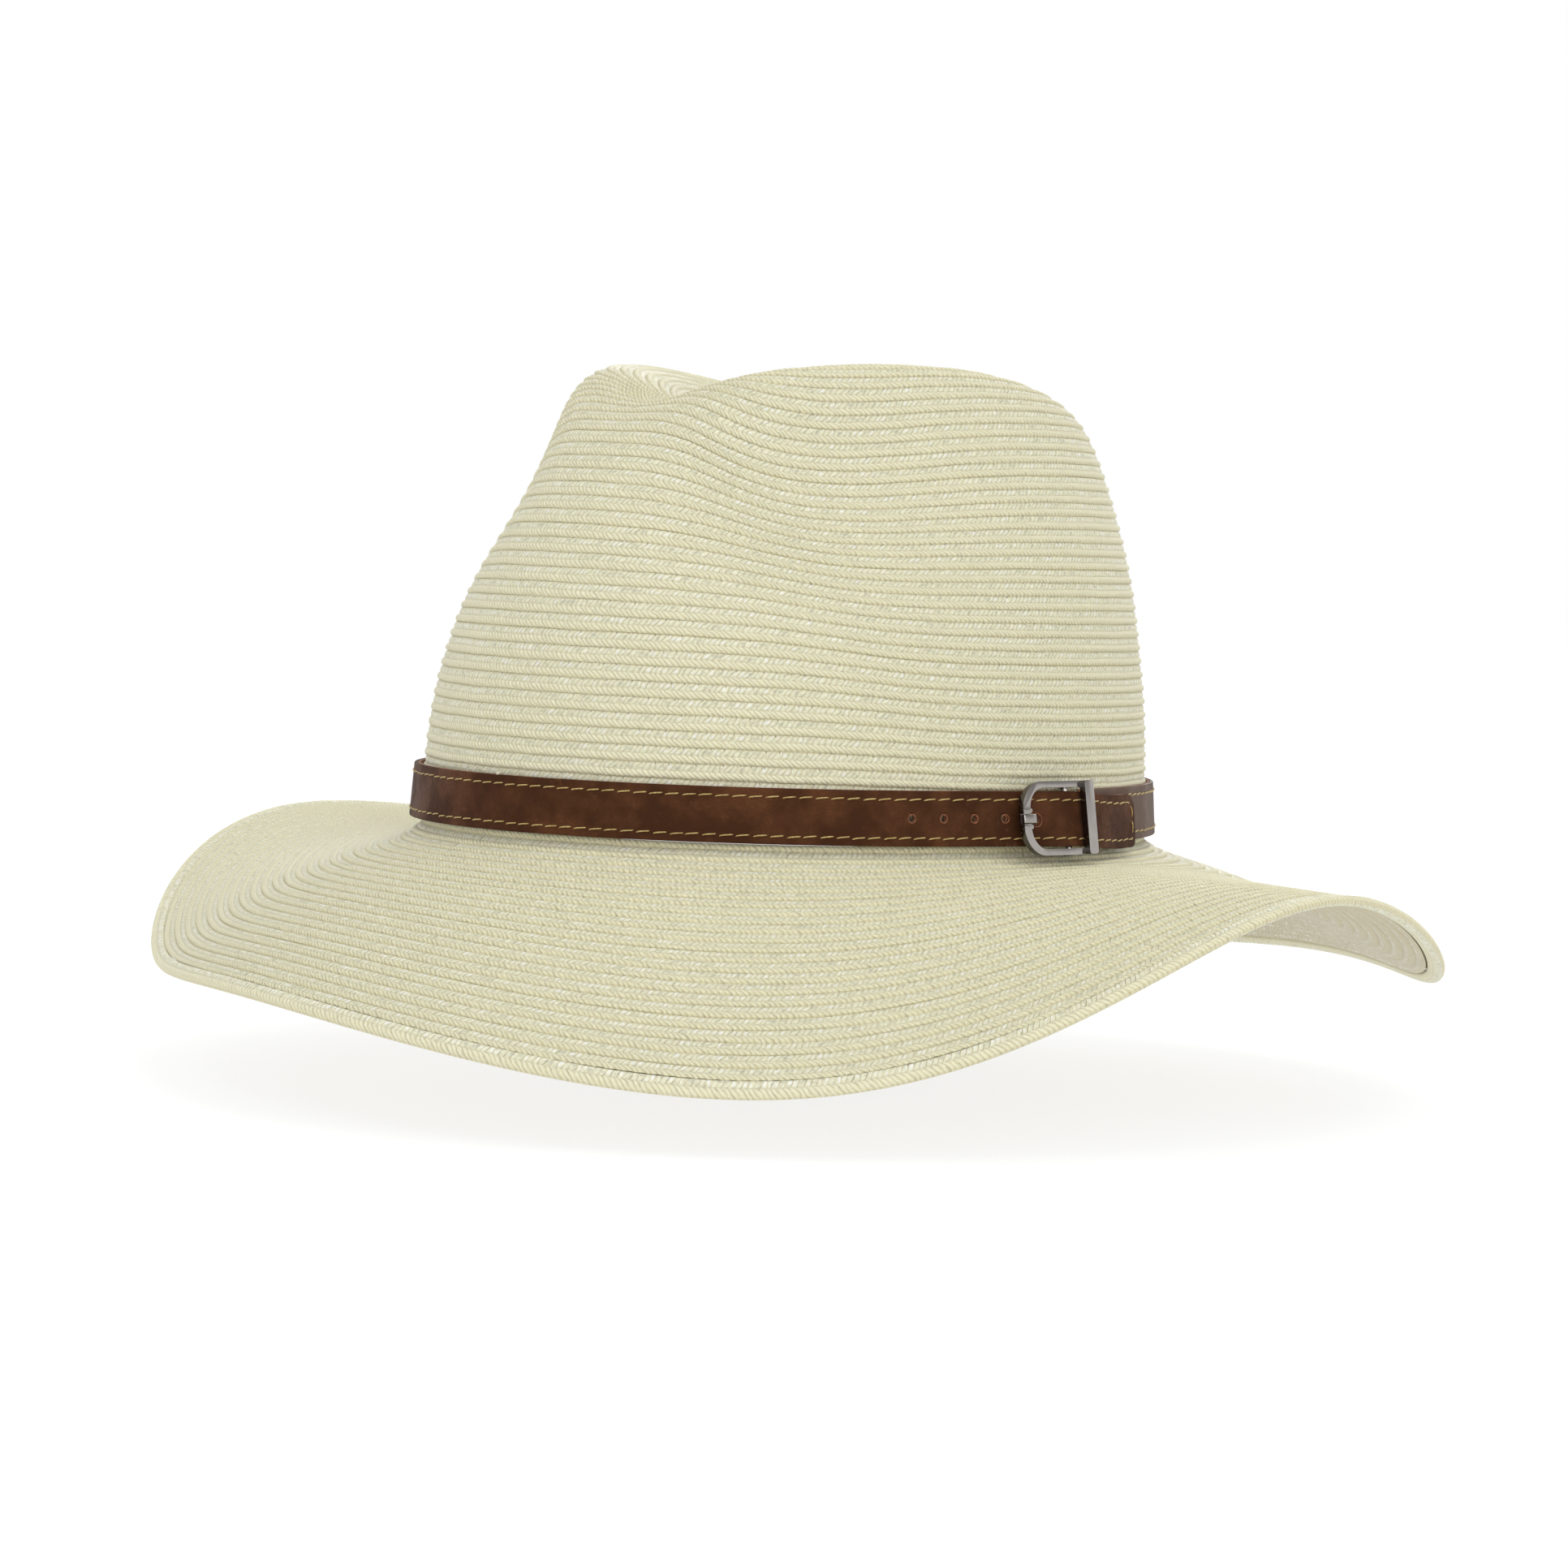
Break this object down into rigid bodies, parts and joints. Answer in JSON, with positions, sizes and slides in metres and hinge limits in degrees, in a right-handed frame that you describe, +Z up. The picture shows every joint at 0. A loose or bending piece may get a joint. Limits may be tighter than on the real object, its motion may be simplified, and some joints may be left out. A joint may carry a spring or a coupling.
{
  "type": "fedora sun hat",
  "caption": "Wide-brimmed fedora sun hat of sewn braid with a dented, pinched crown, a wavy brim, a fabric sweatband and a thin leather belt closed by a metal buckle",
  "frame": {"origin": "centre of the head opening, in the headline plane where the crown meets the brim", "axes": "+Z up out of the crown, the front of the hat faces -Y, the wearer's left is +X"},
  "size_m": [0.3446, 0.3544, 0.1745],
  "materials": {
    "braid": "ivory paper-and-polyester braid, sewn row over row, matt with fine glossy threads",
    "sweatband": "woven cotton-polyester tape, ivory, matt",
    "thread_pale": "fine ivory sewing thread",
    "label": "blank woven label, satin",
    "leather": "dark brown grain leather, semi-matt",
    "suede": "tan undyed flesh side and cut edge, matt",
    "thread": "yellow-tan waxed polyester thread",
    "gunmetal": "polished gunmetal plating on die-cast zinc"
  },
  "bodies": {
    "root": {"crown": "braid", "brim": "braid", "brim_edge_braid": "braid", "sweatband": "sweatband", "sweatband_stitching": "thread_pale", "sweatband_seam_tab": "sweatband", "size_label": "label", "belt_strap": "leather", "belt_lining": "suede", "belt_stitching_upper": "thread", "belt_stitching_lower": "thread", "belt_tip_stitching": "thread", "belt_tacks": "thread_pale", "buckle_chape": "leather"},
    "buckle": {"buckle_frame": "gunmetal", "buckle_bar": "gunmetal"},
    "tongue": {"buckle_tongue": "gunmetal"}
  },
  "joints": [
    {"name": "buckle_rock", "type": "hinge", "parent": "root", "child": "buckle", "pos_m": [0.09109, 0.00708, 0.00666], "axis": [-0.1564, 0.0015, 0.9877], "range_deg": [-1, 2]},
    {"name": "tongue_lift", "type": "hinge", "parent": "buckle", "child": "tongue", "pos_m": [0.09109, 0.00708, 0.00666], "axis": [-0.1564, 0.0015, 0.9877], "range_deg": [0, 3]}
  ]
}
